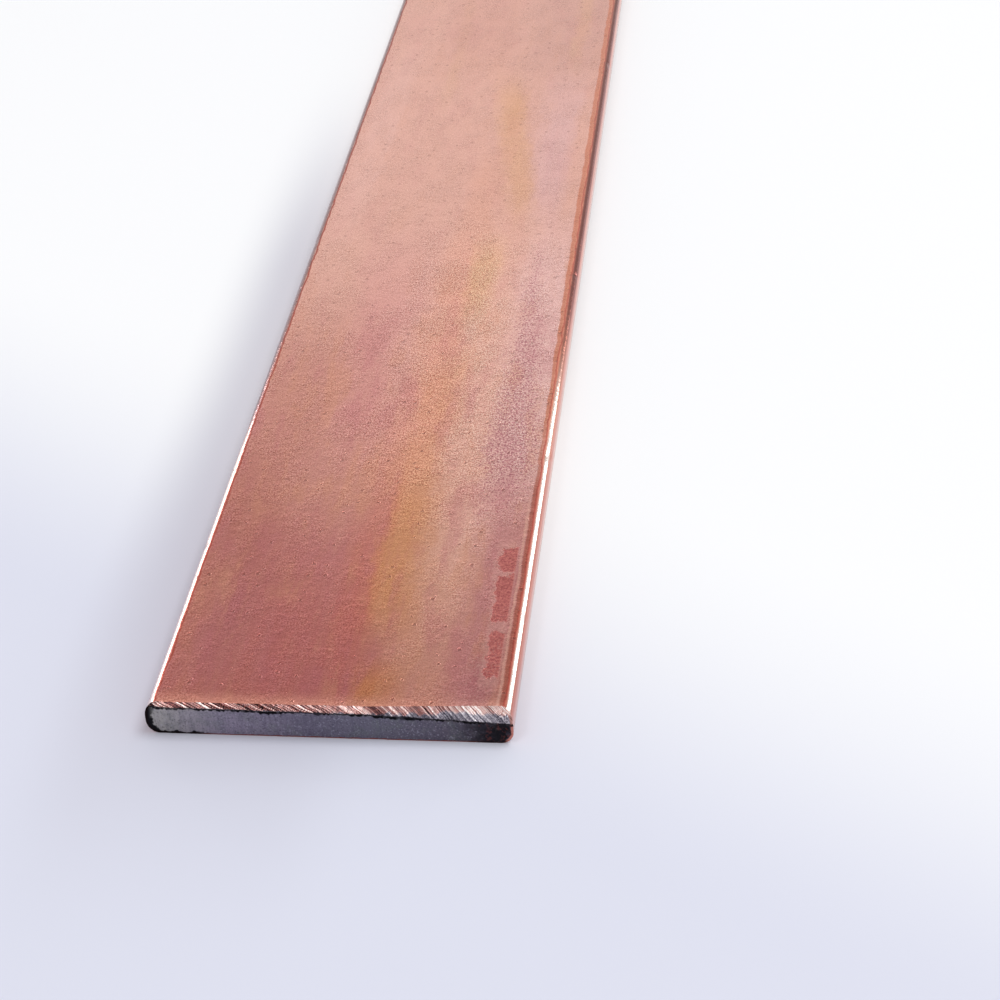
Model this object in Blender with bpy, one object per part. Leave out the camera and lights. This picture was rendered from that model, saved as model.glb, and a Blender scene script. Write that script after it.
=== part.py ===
"""Copper-clad aluminium busbar: a length of flat bar with rounded edges and a filed near end.

The bar lies flat with its length along Y. The origin is the centre of its underside, and +Z is up.
Two bonded pieces make it: a copper sleeve round the whole section and the aluminium core inside it.
The near end (towards -Y) was cut a little out of square. Its top arris has been filed off by hand in two flat
passes: a light one along the whole edge, and a deeper one that starts near the middle and grows to the right.
"""
import math

import bmesh
import bpy
from mathutils import Vector

# Driving dimensions of the bar, in metres
BAR_WIDTH = 0.050
BAR_THICKNESS = 0.005
BAR_LENGTH = 0.500
EDGE_ROUND_ACROSS = 0.0018
EDGE_ROUND_UP = 0.0020
CLADDING_THICKNESS = 0.00035
BOND_GAP = 0.00005

# The near end's saw cut: how much further back it lies at the bar's left edge than at the right one
CUT_SKEW = 0.0006

# The filed arris: how far each pass of the file went back along the top face at the bar's left and
# right edges, from the end's foremost corner. The second pass misses the left edge by a negative run.
# Both passes have the same slope.
FIRST_PASS_LEFT = 0.00120
FIRST_PASS_RIGHT = 0.00100
SECOND_PASS_LEFT = -0.00005
SECOND_PASS_RIGHT = 0.00220
FILED_SLOPE = math.radians(45.0)

# Facets in each quarter round of the section
ARC_SEGMENTS = 14

# How far a cutter stands clear of the metal, so that no two faces coincide
CUTTER_OVERSHOOT = 0.004

# The spare end of the blank, which the saw cut takes off
SPARE_END = BAR_THICKNESS

# Points of a drawn section that lie nearer than this share of the copper skin are the same point
WELD_SHARE = 0.003

COPPER_COLOUR = (0.62, 0.29, 0.22, 1.0)
ALUMINIUM_COLOUR = (0.42, 0.43, 0.46, 1.0)


def clear_scene():
    """Remove every object that the file opened with."""
    for old in list(bpy.data.objects):
        bpy.data.objects.remove(old, do_unlink=True)


def make_collection(name):
    """Make a collection under the scene's own."""
    collection = bpy.data.collections.new(name)
    bpy.context.scene.collection.children.link(collection)
    return collection


def make_material(name, colour, roughness, metallic):
    """Make a Principled material in one plain finish."""
    material = bpy.data.materials.new(name)
    material.use_nodes = True
    material.diffuse_color = colour
    shader = material.node_tree.nodes["Principled BSDF"]
    shader.inputs["Base Color"].default_value = colour
    shader.inputs["Roughness"].default_value = roughness
    shader.inputs["Metallic"].default_value = metallic
    return material


def section_outline(inset):
    """Points of the bar's rounded section, moved inwards by inset, counter-clockwise from the right edge."""
    radius_across = EDGE_ROUND_ACROSS - inset
    radius_up = EDGE_ROUND_UP - inset
    centre_across = BAR_WIDTH / 2 - EDGE_ROUND_ACROSS
    centre_up = BAR_THICKNESS / 2 - EDGE_ROUND_UP
    corners = ((1, 1, 0.0), (-1, 1, 90.0), (-1, -1, 180.0), (1, -1, 270.0))
    points = []
    for side_across, side_up, start in corners:
        for step in range(ARC_SEGMENTS + 1):
            angle = math.radians(start + 90.0 * step / ARC_SEGMENTS)
            across = side_across * centre_across + radius_across * math.cos(angle)
            up = side_up * centre_up + radius_up * math.sin(angle)
            points.append((across, up))
    return points


def add_outline(curve, points):
    """Add a closed straight-sided spline to a 2D curve."""
    spline = curve.splines.new("POLY")
    spline.points.add(len(points) - 1)
    for target, (across, up) in zip(spline.points, points):
        target.co = (across, up, 0.0, 1.0)
    spline.use_cyclic_u = True


def extrude_section(name, outlines, material, collection):
    """Run a flat section along the blank, as a closed mesh whose section stands upright and faces -Y."""
    curve = bpy.data.curves.new(name + "_section", "CURVE")
    curve.dimensions = "2D"
    curve.fill_mode = "BOTH"
    curve.extrude = (BAR_LENGTH + SPARE_END) / 2
    for points in outlines:
        add_outline(curve, points)
    drawn = bpy.data.objects.new(name + "_section", curve)
    collection.objects.link(drawn)
    drawn.rotation_euler = (math.radians(90.0), 0.0, 0.0)
    drawn.location = (0.0, -SPARE_END / 2, BAR_THICKNESS / 2)
    bpy.context.view_layer.update()

    evaluated = drawn.evaluated_get(bpy.context.evaluated_depsgraph_get())
    mesh = bpy.data.meshes.new_from_object(evaluated)
    mesh.name = name
    shape = bmesh.new()
    shape.from_mesh(mesh)
    bmesh.ops.remove_doubles(shape, verts=shape.verts, dist=CLADDING_THICKNESS * WELD_SHARE)
    bmesh.ops.recalc_face_normals(shape, faces=shape.faces)
    shape.to_mesh(mesh)
    shape.free()

    piece = bpy.data.objects.new(name, mesh)
    piece.matrix_world = drawn.matrix_world
    collection.objects.link(piece)
    bpy.data.objects.remove(drawn, do_unlink=True)
    mesh.materials.clear()
    mesh.materials.append(material)
    return piece


def make_wedge(name, corner_points, depth_vector, collection):
    """Make a closed prism from a flat outline in world coordinates, pushed along depth_vector."""
    mesh = bpy.data.meshes.new(name)
    shape = bmesh.new()
    ring = [shape.verts.new(point) for point in corner_points]
    base = shape.faces.new(ring)
    pushed = bmesh.ops.extrude_face_region(shape, geom=[base])
    moved = [item for item in pushed["geom"] if isinstance(item, bmesh.types.BMVert)]
    bmesh.ops.translate(shape, verts=moved, vec=depth_vector)
    bmesh.ops.recalc_face_normals(shape, faces=shape.faces)
    shape.to_mesh(mesh)
    shape.free()
    cutter = bpy.data.objects.new(name, mesh)
    cutter.hide_render = True
    cutter.display_type = "WIRE"
    collection.objects.link(cutter)
    return cutter


def make_end_cut(name, collection):
    """The spare end of the blank: all that lies in front of the upright saw cut."""
    near = -BAR_LENGTH / 2
    left = Vector((-BAR_WIDTH / 2, near + CUT_SKEW, 0.0))
    right = Vector((BAR_WIDTH / 2, near, 0.0))
    past_side = (right - left).normalized() * CUTTER_OVERSHOOT
    below = Vector((0.0, 0.0, -CUTTER_OVERSHOOT))
    above = Vector((0.0, 0.0, BAR_THICKNESS + CUTTER_OVERSHOOT))
    corners = (
        left - past_side + below,
        right + past_side + below,
        right + past_side + above,
        left - past_side + above,
    )
    return make_wedge(name, corners, Vector((0.0, -SPARE_END - CUTTER_OVERSHOOT, 0.0)), collection)


def make_file_pass(name, run_left, run_right, collection):
    """The metal that one pass of the file took off the near end's top arris: a prism on the filed plane."""
    near = -BAR_LENGTH / 2
    start = Vector((-BAR_WIDTH / 2, near + run_left, BAR_THICKNESS))
    finish = Vector((BAR_WIDTH / 2, near + run_right, BAR_THICKNESS))
    along_edge = (finish - start).normalized()
    outward = Vector((along_edge.y, -along_edge.x, 0.0))
    down_slope = outward * math.cos(FILED_SLOPE) - Vector((0.0, 0.0, math.sin(FILED_SLOPE)))
    out_of_metal = down_slope.cross(along_edge)

    past_side = along_edge * CUTTER_OVERSHOOT
    past_top = down_slope * -CUTTER_OVERSHOOT
    past_end = down_slope * (max(run_left, run_right) / math.cos(FILED_SLOPE) + CUTTER_OVERSHOOT)
    corners = (
        start - past_side + past_top,
        finish + past_side + past_top,
        finish + past_side + past_end,
        start - past_side + past_end,
    )
    return make_wedge(name, corners, out_of_metal * past_end.length, collection)


def cut(piece, cutters):
    """Take each cutter out of a piece with a live Boolean."""
    for cutter in cutters:
        modifier = piece.modifiers.new(cutter.name, "BOOLEAN")
        modifier.operation = "DIFFERENCE"
        modifier.solver = "EXACT"
        modifier.object = cutter


def shade(piece):
    """Shade the quarter rounds smooth and keep the cut edges crisp."""
    piece.data.shade_smooth()
    piece.data.set_sharp_from_angle(angle=math.radians(30.0))


def build():
    """Build the bar."""
    clear_scene()
    parts = make_collection("clad_busbar")
    cutters = make_collection("cutters")
    copper = make_material("copper", COPPER_COLOUR, 0.35, 1.0)
    aluminium = make_material("aluminium", ALUMINIUM_COLOUR, 0.5, 1.0)

    outside = section_outline(0.0)
    sleeve_inside = section_outline(CLADDING_THICKNESS)
    core_outside = section_outline(CLADDING_THICKNESS + BOND_GAP)
    cladding = extrude_section("copper_cladding", (outside, sleeve_inside), copper, parts)
    core = extrude_section("aluminium_core", (core_outside,), aluminium, parts)

    end_cutters = (
        make_end_cut("end_cut", cutters),
        make_file_pass("first_file_pass", FIRST_PASS_LEFT, FIRST_PASS_RIGHT, cutters),
        make_file_pass("second_file_pass", SECOND_PASS_LEFT, SECOND_PASS_RIGHT, cutters),
    )
    for piece in (cladding, core):
        cut(piece, end_cutters)
        shade(piece)


build()
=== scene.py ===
"""Looks of the clad busbar: a copper skin and an aluminium core with a hand-filed end, on a pale floor.

Lengths in the tables and functions are millimetres in the bar's own measure: x across from the bar's middle,
y along from the filed end, z up from the underside. MM turns them into the frame's metres.
"""
import math
from typing import NamedTuple

import bmesh
import bpy
import numpy as np
from mathutils import Matrix, Vector


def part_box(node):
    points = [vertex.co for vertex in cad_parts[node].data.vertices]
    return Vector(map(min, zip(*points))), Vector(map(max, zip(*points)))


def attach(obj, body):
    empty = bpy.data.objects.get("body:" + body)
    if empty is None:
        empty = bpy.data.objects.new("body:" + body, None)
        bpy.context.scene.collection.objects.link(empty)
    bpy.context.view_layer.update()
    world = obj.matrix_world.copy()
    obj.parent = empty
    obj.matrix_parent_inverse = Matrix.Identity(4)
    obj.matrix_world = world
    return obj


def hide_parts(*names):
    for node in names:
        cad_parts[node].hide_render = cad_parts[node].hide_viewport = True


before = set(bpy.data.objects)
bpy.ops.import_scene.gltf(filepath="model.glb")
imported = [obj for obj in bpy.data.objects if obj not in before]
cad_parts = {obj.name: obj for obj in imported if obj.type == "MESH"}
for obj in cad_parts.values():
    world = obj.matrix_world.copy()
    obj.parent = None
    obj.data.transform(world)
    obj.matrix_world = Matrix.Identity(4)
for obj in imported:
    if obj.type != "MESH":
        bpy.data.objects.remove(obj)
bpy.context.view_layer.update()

MM = 0.001

# The bar, as the frame has it
BAR_LOW, BAR_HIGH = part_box("copper_cladding")
WIDTH = (BAR_HIGH.x - BAR_LOW.x) / MM
LENGTH = (BAR_HIGH.y - BAR_LOW.y) / MM
THICKNESS = (BAR_HIGH.z - BAR_LOW.z) / MM
NEAR_END = BAR_LOW.y / MM

# The section and the cut end: each pair is a run at the left and the right edge. The second pass runs back a
# little less here than in the solids, as measured on the photograph
ROUND_ACROSS = 1.8
ROUND_UP = 2.0
SKIN = 0.35
SAW_CUT = (0.60, 0.0)
FIRST_PASS = (1.20, 1.00)
SECOND_PASS = (-0.05, 1.80)

# Steps of the mesh along a wide face, in each quarter round and up each narrow side, at the cut end and
# along the bar, and steps inwards over the skin's and the core's cut faces and the core's far end
FINE_STEPS = (1000, 44, 14)
BODY_STEPS = (54, 11, 2)
SKIN_LAYERS = 6
CORE_LAYERS = 24
FAR_LAYERS = 6

# Faces and quarter rounds in an outline
OUTLINE_PARTS = 8.0

# The skin's rings: how far behind the cut the first ones lie, then start, finish and step of the others
EDGE_ROWS = (0.08, 0.30)
BODY_ROWS = ((3.2, 130.0, 0.62), (130.0, 300.0, 1.25), (300.0, LENGTH, 2.6))

# The gap round the core, and how far the cut faces lie inside the solids' ends
CORE_PLAY = 0.002
CUT_BACK = 0.055
FAR_CUT_BACK = 0.03

# Points nearer than this are welded, and edges sharper than this many degrees stay crisp
WELD = 0.0001
CRISP_ANGLE = 38.0

# Cells of random heights along a line and each side of a plane
LINE_CELLS = 4096
PLANE_CELLS = 512

# The view in the photograph, measured from its edges and vanishing point
VIEW_FROM = (56.8, -220.9, 190.5)
VIEW_PITCH = math.radians(34.15)
VIEW_YAW = math.radians(-8.1)
VIEW_ROLL = math.radians(4.02)
FOCAL_PIXELS = 2200.0
IMAGE_PIXELS = 1000.0
SENSOR = 36.0


def smoothstep(low, high, value):
    """Ease from 0 to 1 as value goes from low to high."""
    part = np.clip((value - low) / (high - low), 0.0, 1.0)
    return part * part * (3.0 - 2.0 * part)


def noise_line(place, seed):
    """Smooth random heights from -1 to 1 along a line, one for each unit of place."""
    heights = np.random.default_rng(seed).uniform(-1.0, 1.0, LINE_CELLS)
    cell = np.floor(place).astype(int)
    ease = smoothstep(0.0, 1.0, place - cell)
    return heights[cell % LINE_CELLS] * (1.0 - ease) + heights[(cell + 1) % LINE_CELLS] * ease


def noise_plane(across, along, seed):
    """Smooth random heights from -1 to 1 over a plane, one for each unit square."""
    heights = np.random.default_rng(seed).uniform(-1.0, 1.0, (PLANE_CELLS, PLANE_CELLS))
    column = np.floor(across).astype(int)
    row = np.floor(along).astype(int)
    ease_x = smoothstep(0.0, 1.0, across - column)
    ease_y = smoothstep(0.0, 1.0, along - row)
    total = 0.0
    for step_x, share_x in ((0, 1.0 - ease_x), (1, ease_x)):
        for step_y, share_y in ((0, 1.0 - ease_y), (1, ease_y)):
            height = heights[(column + step_x) % PLANE_CELLS, (row + step_y) % PLANE_CELLS]
            total = total + height * share_x * share_y
    return total


def outline(inset, steps):
    """Points (x, z) round the section moved inwards by inset, clockwise from the top face's left end, and
    how far round each one is, counted as 1 for each face or quarter round passed."""
    face_steps, round_steps, side_steps = steps
    flat_x = WIDTH / 2 - ROUND_ACROSS
    flat_z = THICKNESS / 2 - ROUND_UP
    middle = THICKNESS / 2
    reach = middle - inset
    points = []
    turns = []

    def add_flat(start, finish, count):
        share = np.arange(count) / count
        points.append(np.outer(1 - share, start) + np.outer(share, finish))
        turns.append(len(turns) + share)

    def add_round(side_x, side_z, start_angle):
        share = np.arange(round_steps) / round_steps
        angle = np.radians(start_angle - 90.0 * share)
        x = side_x * flat_x + (ROUND_ACROSS - inset) * np.cos(angle)
        z = middle + side_z * flat_z + (ROUND_UP - inset) * np.sin(angle)
        points.append(np.stack([x, z], 1))
        turns.append(len(turns) + share)

    side = WIDTH / 2 - inset
    add_flat((-flat_x, middle + reach), (flat_x, middle + reach), face_steps)
    add_round(1, 1, 90.0)
    add_flat((side, middle + flat_z), (side, middle - flat_z), side_steps)
    add_round(1, -1, 0.0)
    add_flat((flat_x, middle - reach), (-flat_x, middle - reach), face_steps)
    add_round(-1, -1, -90.0)
    add_flat((-side, middle - flat_z), (-side, middle + flat_z), side_steps)
    add_round(-1, 1, 180.0)
    return np.concatenate(points), np.concatenate(turns)


def medial(points):
    """The nearest place on the section's middle line, where the cut end's inner rings close."""
    reach = WIDTH / 2 - THICKNESS / 2
    return np.stack([np.clip(points[:, 0], -reach, reach), np.full(len(points), THICKNESS / 2)], 1)


def from_edges(pair, x):
    """A length that runs evenly from the bar's left edge to its right one."""
    return pair[0] + (pair[1] - pair[0]) * (x / WIDTH + 0.5)


def file_strokes(x, slope):
    """The file's tooth marks, running down to the right and steeper towards the right: their height, and
    how bright each one is painted, from painted shade in the furrows to painted glints on the ridges."""
    lean = np.radians(25.0 + 19.0 * smoothstep(-8.0, 22.0, x))
    across = x * np.sin(lean) - slope * np.cos(lean)
    across = across + 0.05 * noise_line(slope / 0.5 + x / 3.0, 10)
    broad = noise_line(across / 0.22, 11)
    medium = noise_line(across / 0.11, 12)
    fine = noise_line(across / 0.06, 13)
    towards_right = smoothstep(-14.0, 2.0, x)
    set_apart = smoothstep(0.0, 0.45, noise_line(across / 0.42, 17))
    gouge = np.maximum(noise_line(across / 0.13, 14) + 0.05, 0.0) * set_apart * (1.0 - 0.7 * towards_right)
    ridge = smoothstep(0.1, 0.5, noise_line((across + 0.20) / 0.42, 17)) * (1.0 - set_apart)
    height = (0.012 * broad + 0.012 * medium) * (1.0 - 0.6 * towards_right) + 0.006 * fine - 0.05 * gouge
    # Painted light of the strokes: brighter to the right, painted shade lower down the slope and in the
    # gouges
    level = 0.33 + 0.11 * towards_right + 0.16 * smoothstep(10.0, 18.0, x)
    level = level - 0.04 * smoothstep(-2.0, 4.0, x) - 0.24 * smoothstep(0.6, 1.8, slope)
    grooves = 0.48 * noise_line(across / 0.10, 15) + 0.38 * noise_line(across / 0.05, 16)
    grooves = grooves + 0.30 * towards_right * noise_line(across / 0.065, 18)
    shine = level + grooves * (1.0 - 0.25 * towards_right) + (0.45 - 0.40 * towards_right) * ridge
    return height, shine - (2.2 - 1.2 * towards_right) * gouge


def sawn_face(x, z):
    """How far along y the sawn face lies, with its saw marks and slight waves."""
    cut = from_edges(SAW_CUT, x) + CUT_BACK
    cut = cut + 0.012 * noise_line(x / 0.9, 31) + 0.006 * noise_plane(x / 0.12, z / 0.9, 32)
    return cut + 0.020 * noise_plane(x / 3.0, z / 1.5, 33)


def end_smut_and_shade(x, z, depth, below_line, filed):
    """How black the cut end is: a ragged line of painted shade under the filed band, a rim at the left that
    is a dirty burr with painted shade, and painted shade over the right end.
    """
    # A ragged line of painted shade, where the burr overhangs the sawn face
    reach = 2.5 + 1.4 * noise_line(x / 1.1, 43) + 1.2 * noise_line(x / 0.28, 53)
    reach = reach + 1.6 * np.exp(-((x - 9.0) / 3.0) ** 2) + 1.8 * np.exp(-((x + 8.0) / 3.0) ** 2)
    line = smoothstep(-0.9, -0.1, below_line) * (1.0 - smoothstep(reach, reach + 0.8, below_line))
    line = line * np.clip(1.20 + 0.6 * noise_line(x / 0.6, 46), 0.0, 1.0)

    # A dark rim at the left: a dirty burr, with painted shade
    at_side = 1.0 - smoothstep(-24.6, -23.0, x)
    ragged_rim = 0.22 * noise_plane(x / 0.5, z / 0.5, 47) + 0.14 * noise_plane(x / 0.2, z / 0.2, 49)
    reach = 0.24 + 0.26 * (1.0 - smoothstep(-24.0, -17.0, x)) + 0.34 * at_side + ragged_rim
    rim = 1.0 - smoothstep(reach, reach + 0.12 + 0.45 * at_side, depth)
    low_down = np.maximum(1.0 - smoothstep(2.4, 3.4, z), at_side)
    rim = rim * (1.0 - smoothstep(-18.5, -15.0, x)) * low_down

    # Painted shade over the right end, with the torn corner's copper left bright
    patches = noise_plane(x / 0.9, z / 0.8, 48) + 0.6 * noise_plane(x / 0.35, z / 0.3, 50)
    right_end = smoothstep(16.0, 22.0, x + 1.2 * patches) * (1.0 - filed)
    right_end = right_end * (0.94 - 0.22 * np.maximum(patches, 0.0))
    in_corner = smoothstep(23.6, 24.4, x) * (1.0 - smoothstep(0.25, 0.45, depth + 0.10 * patches))
    right_end = right_end * (1.0 - in_corner)
    return np.clip(np.maximum(np.maximum(line, rim), right_end), 0.0, 1.0)


def end_smear(x, z, depth, filed, shine):
    """How much of the other metal is dragged over each one: aluminium over the sawn skin, copper over the
    filed core."""
    past_skin = (THICKNESS - SKIN - z) * filed
    reach = 0.42 - 0.16 * smoothstep(0.0, 6.0, x) + 0.30 * noise_line(x / 0.7, 51)
    reach = reach + 0.35 * (shine - 0.5)
    copper_drag = (1.0 - smoothstep(reach, reach + 0.25, past_skin)) * filed
    metal_drag = smoothstep(0.13, 0.19, depth + 0.05 * noise_line(x / 0.5, 52)) * (1.0 - filed)
    return np.where(depth < SKIN + CORE_PLAY / 2, metal_drag, copper_drag)


class CutEnd:
    """The near end at the places (x, z), each at a depth inside the section's outline: how far along y the
    metal starts, and masks for what is filed, the strokes' painted glints and shade, what is smeared over
    by the other metal, and what is blackened by painted shade with some dirt."""

    def __init__(self, x, z, depth):
        ragged = 0.035 * noise_line(x / 1.6, 21) + 0.020 * noise_line(x / 0.35, 22)
        run = np.maximum(from_edges(FIRST_PASS, x), from_edges(SECOND_PASS, x)) + ragged
        plane = z - (THICKNESS - run)
        strokes, shine = file_strokes(x, (run - plane) * math.sqrt(2.0))
        filed = plane + strokes
        cut = sawn_face(x, z)

        # Tenths of a millimetre below the filed band
        below_line = (cut - plane) / 0.1
        patchy = 0.5 + 0.9 * noise_line(x / 0.6, 41) + 0.5 * noise_line(x / 0.18, 42)
        burr = 0.06 * np.exp(-((below_line - 0.2) / 0.9) ** 2) * np.clip(patchy, 0.0, 1.5)
        undercut = 0.10 * np.exp(-((below_line - 2.1) / 0.9) ** 2)
        torn = smoothstep(18.5, 23.0, x) * smoothstep(0.3, 1.2, depth)
        lumps = 0.20 * noise_plane(x / 0.9, z / 0.8, 44) + 0.08 * noise_plane(x / 0.3, z / 0.3, 45)
        torn = torn * (0.25 + lumps)
        face = cut + undercut + np.where(below_line > 0.0, torn, 0.0)
        corner = 0.35 * smoothstep(-22.6, -25.0, x) * smoothstep(2.4, 4.6, z)

        self.y = np.maximum(np.maximum(face, filed) - burr, 0.0) + corner
        self.filed = smoothstep(-0.02, 0.03, filed - cut)
        # The strokes' painted glints and shade, and blackening that is mostly painted shade
        self.shine = np.clip(shine, 0.0, 1.0)
        self.smut = end_smut_and_shade(x, z, depth, below_line, self.filed)
        self.smear = end_smear(x, z, depth, self.filed, self.shine)


# A CutEnd's values that the materials read
MASK_NAMES = ("filed", "shine", "smut", "smear")


def add_object(name, data):
    """Make an object and put it in the scene."""
    made = bpy.data.objects.new(name, data)
    bpy.context.scene.collection.objects.link(made)
    return made


class Shell:
    """Gathers rings of points, their masks and the faces between them for one closed mesh."""

    def __init__(self):
        self.points = []
        self.masks = {name: [] for name in MASK_NAMES}
        self.faces = []
        self.slots = []
        self.count = 0

    def add_ring(self, x, y, z, end=None):
        """Add a closed ring of points, with masks where it lies on a CutEnd, and return its point numbers."""
        ring = np.stack(np.broadcast_arrays(x, y, z), 1)
        numbers = np.arange(self.count, self.count + len(ring))
        self.points.append(ring)
        self.count += len(ring)
        for name, values in self.masks.items():
            values.append(getattr(end, name) if end else np.zeros(len(ring)))
        return numbers

    def bridge(self, first, second, slot):
        """Join two rings of the same count with quads."""
        after_first = np.roll(first, -1)
        after_second = np.roll(second, -1)
        quads = np.stack([first, after_first, after_second, second], 1)
        self.faces.extend(quads.tolist())
        self.slots.extend([slot] * len(quads))

    def stitch(self, first, first_turns, second, second_turns, slot):
        """Join two rings of unlike counts with triangles, keeping step by how far round each one is."""
        i = 0
        j = 0
        while i < len(first) or j < len(second):
            next_i = first_turns[i + 1] if i + 1 < len(first) else first_turns[0] + OUTLINE_PARTS
            next_j = second_turns[j + 1] if j + 1 < len(second) else second_turns[0] + OUTLINE_PARTS
            here = first[i % len(first)]
            there = second[j % len(second)]
            take_first = j >= len(second) or (i < len(first) and next_i <= next_j)
            if take_first:
                self.faces.append([here, first[(i + 1) % len(first)], there])
                i += 1
            else:
                self.faces.append([here, second[(j + 1) % len(second)], there])
                j += 1
            self.slots.append(slot)

    def make(self, name, materials):
        """Turn what was gathered into an object, welded, closed and facing outwards."""
        points = np.concatenate(self.points)
        placed = np.stack([points[:, 0], points[:, 1] + NEAR_END, points[:, 2]], 1) * MM
        mesh = bpy.data.meshes.new(name)
        mesh.from_pydata(placed.tolist(), [], self.faces)
        for material in materials:
            mesh.materials.append(material)
        mesh.polygons.foreach_set("material_index", np.array(self.slots, np.int32))
        for mask_name, values in self.masks.items():
            layer = mesh.attributes.new(mask_name, "FLOAT", "POINT")
            layer.data.foreach_set("value", np.concatenate(values).astype(np.float32))
        shape = bmesh.new()
        shape.from_mesh(mesh)
        bmesh.ops.remove_doubles(shape, verts=shape.verts, dist=WELD * MM)
        bmesh.ops.recalc_face_normals(shape, faces=shape.faces)
        shape.to_mesh(mesh)
        shape.free()
        mesh.shade_smooth()
        mesh.set_sharp_from_angle(angle=math.radians(CRISP_ANGLE))
        return add_object(name, mesh)


# Dings in the skin: (x, y, z, radius, depth)
DINGS = (
    (25.0, 63.0, 4.4, 0.9, 0.16),
    (24.9, 22.0, 4.2, 0.5, 0.10),
    (24.6, 121.0, 4.8, 0.8, 0.12),
    (-24.7, 38.0, 4.6, 0.7, 0.12),
    (-24.9, 81.0, 4.3, 0.6, 0.10),
    (-24.6, 134.0, 4.6, 0.8, 0.10),
    (24.8, 214.0, 4.5, 1.0, 0.14),
    (-24.8, 263.0, 4.4, 1.1, 0.14),
    (24.9, 331.0, 4.4, 1.0, 0.12),
    (-24.7, 402.0, 4.6, 1.2, 0.14),
)


def skin_relief(points, y):
    """How far the skin lies inside the bar's plain outline: rolling waves, edge dubbing and dings."""
    x = points[:, 0]
    z = points[:, 1]
    waves = 0.010 * (1.0 + noise_plane(x / 9.0 + 40.0, y / 26.0 + np.zeros_like(x), 51))
    near_edge = smoothstep(21.6, 23.6, np.abs(x)) * smoothstep(4.0, 4.9, z)
    edge_waves = 0.016 * near_edge * (1.0 + noise_line(y / 7.0 + np.sign(x) * 90.0, 52))
    relief = waves + edge_waves
    for ding_x, ding_y, ding_z, radius, depth in DINGS:
        apart = (x - ding_x) ** 2 + (y - ding_y) ** 2 + (z - ding_z) ** 2
        relief = relief + depth * np.exp(-apart / (radius * radius))
    return relief


def outward(points):
    """Unit normals of a closed outline that runs clockwise."""
    along = np.roll(points, -1, 0) - np.roll(points, 1, 0)
    normal = np.stack([-along[:, 1], along[:, 0]], 1)
    return normal / np.linalg.norm(normal, axis=1)[:, None]


def body_rows():
    """Places along the bar for the skin's rings, close together near the filed end."""
    rows = [np.arange(*row) for row in BODY_ROWS]
    return np.concatenate([*rows, [LENGTH]])


def far_end(x, z):
    """The far end's surface: a plain saw cut, a few hundredths short of the full length."""
    return LENGTH - FAR_CUT_BACK - 0.02 * noise_line(x / 0.7 + z / 2.5, 61)


def add_end_rings(shell, outer, inner, layers, depths, slot):
    """The near end's face from one outline in to another. Gives back its rings' point numbers."""
    rings = []
    for layer in range(layers + 1):
        share = layer / layers
        ring = outer * (1.0 - share) + inner * share
        depth = depths[0] * (1.0 - share) + depths[1] * share
        end = CutEnd(ring[:, 0], ring[:, 1], np.full(len(ring), depth))
        rings.append(shell.add_ring(ring[:, 0], end.y, ring[:, 1], end))
        if layer:
            shell.bridge(rings[-2], rings[-1], slot)
    return rings


def make_copper_skin(materials):
    """The copper sleeve, with its cut ring at each end."""
    shell = Shell()
    outer, fine_turns = outline(0.0, FINE_STEPS)
    inner, _ = outline(SKIN, FINE_STEPS)
    cap = add_end_rings(shell, outer, inner, SKIN_LAYERS, (0.0, SKIN), 1)

    edge_y = CutEnd(outer[:, 0], outer[:, 1], np.zeros(len(outer))).y
    normals = outward(outer)
    previous = cap[0]
    for back in EDGE_ROWS:
        relief = skin_relief(outer, edge_y + back) * smoothstep(0.0, EDGE_ROWS[-1], back)
        sunk = outer - normals * relief[:, None]
        ring = shell.add_ring(sunk[:, 0], edge_y + back, sunk[:, 1])
        shell.bridge(previous, ring, 0)
        previous = ring

    body, body_turns = outline(0.0, BODY_STEPS)
    body_normals = outward(body)
    for y in body_rows():
        y_there = far_end(body[:, 0], body[:, 1]) if y >= LENGTH else np.full(len(body), y)
        sunk = body - body_normals * skin_relief(body, y_there)[:, None]
        ring = shell.add_ring(sunk[:, 0], y_there, sunk[:, 1])
        if len(previous) == len(ring):
            shell.bridge(previous, ring, 0)
        else:
            shell.stitch(previous, fine_turns, ring, body_turns, 0)
        previous = ring

    far_inner, far_turns = outline(SKIN, BODY_STEPS)
    closing = shell.add_ring(far_inner[:, 0], far_end(far_inner[:, 0], far_inner[:, 1]), far_inner[:, 1])
    shell.bridge(previous, closing, 1)
    shell.stitch(cap[-1], fine_turns, closing, far_turns, 1)
    return shell.make("copper_skin", materials)


def make_core(materials):
    """The aluminium core, whose filed and cut face shows inside the copper ring."""
    shell = Shell()
    rim, fine_turns = outline(SKIN + CORE_PLAY, FINE_STEPS)
    cap = add_end_rings(shell, rim, medial(rim), CORE_LAYERS, (SKIN + CORE_PLAY, THICKNESS / 2), 0)

    far_rim, far_turns = outline(SKIN + CORE_PLAY, BODY_STEPS)
    far_centre = medial(far_rim)
    previous = None
    for layer in range(FAR_LAYERS + 1):
        share = layer / FAR_LAYERS
        flat = far_rim * (1.0 - share) + far_centre * share
        ring = shell.add_ring(flat[:, 0], far_end(flat[:, 0], flat[:, 1]), flat[:, 1])
        if previous is None:
            shell.stitch(cap[0], fine_turns, ring, far_turns, 0)
        else:
            shell.bridge(previous, ring, 0)
        previous = ring
    return shell.make("core_metal", materials)


def linear(red, green, blue):
    """A colour given as it looks on screen, 0 to 255, as the shader's linear values."""
    values = []
    for channel in (red, green, blue):
        part = channel / 255.0
        values.append(part / 12.92 if part <= 0.04045 else ((part + 0.055) / 1.055) ** 2.4)
    return (*values, 1.0)


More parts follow.
